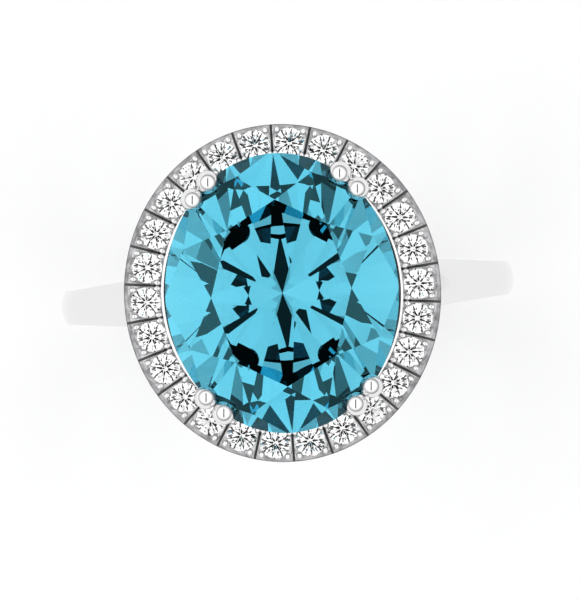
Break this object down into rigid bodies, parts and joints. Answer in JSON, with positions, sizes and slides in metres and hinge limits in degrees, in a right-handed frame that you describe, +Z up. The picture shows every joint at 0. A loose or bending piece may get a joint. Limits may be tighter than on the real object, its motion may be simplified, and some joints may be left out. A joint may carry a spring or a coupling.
{
  "type": "cocktail ring",
  "caption": "Finger ring with a large oval light-blue stone in double claws, a halo of small round stones and a plain tapered shank.",
  "frame": {"origin": "centre of the finger hole", "axes": "+Y along the finger hole and along the oval stone's length, +Z up through the oval stone's table"},
  "size_m": [0.0202, 0.0146, 0.0255],
  "materials": {
    "shank_metal": "rhodium-white, mirror polished",
    "setting_metal": "rhodium-white, polished, duller in the cuts",
    "centre_gem": "transparent light-blue gemstone, polished facets",
    "halo_gem": "transparent colourless gemstone, polished facets"
  },
  "bodies": {
    "root": {"shank": "shank_metal", "base_rail": "setting_metal", "gallery_rail": "setting_metal", "seat_rail": "setting_metal", "halo_plate": "setting_metal", "claw_1": "setting_metal", "claw_2": "setting_metal", "claw_3": "setting_metal", "claw_4": "setting_metal", "claw_5": "setting_metal", "claw_6": "setting_metal", "claw_7": "setting_metal", "claw_8": "setting_metal", "centre_stone": "centre_gem", "halo_stone_01": "halo_gem", "halo_stone_02": "halo_gem", "halo_stone_03": "halo_gem", "halo_stone_04": "halo_gem", "halo_stone_05": "halo_gem", "halo_stone_06": "halo_gem", "halo_stone_07": "halo_gem", "halo_stone_08": "halo_gem", "halo_stone_09": "halo_gem", "halo_stone_10": "halo_gem", "halo_stone_11": "halo_gem", "halo_stone_12": "halo_gem", "halo_stone_13": "halo_gem", "halo_stone_14": "halo_gem", "halo_stone_15": "halo_gem", "halo_stone_16": "halo_gem", "halo_stone_17": "halo_gem", "halo_stone_18": "halo_gem", "halo_stone_19": "halo_gem", "halo_stone_20": "halo_gem", "halo_stone_21": "halo_gem", "halo_stone_22": "halo_gem", "halo_stone_23": "halo_gem", "halo_stone_24": "halo_gem", "halo_stone_25": "halo_gem", "halo_stone_26": "halo_gem"}
  },
  "joints": []
}
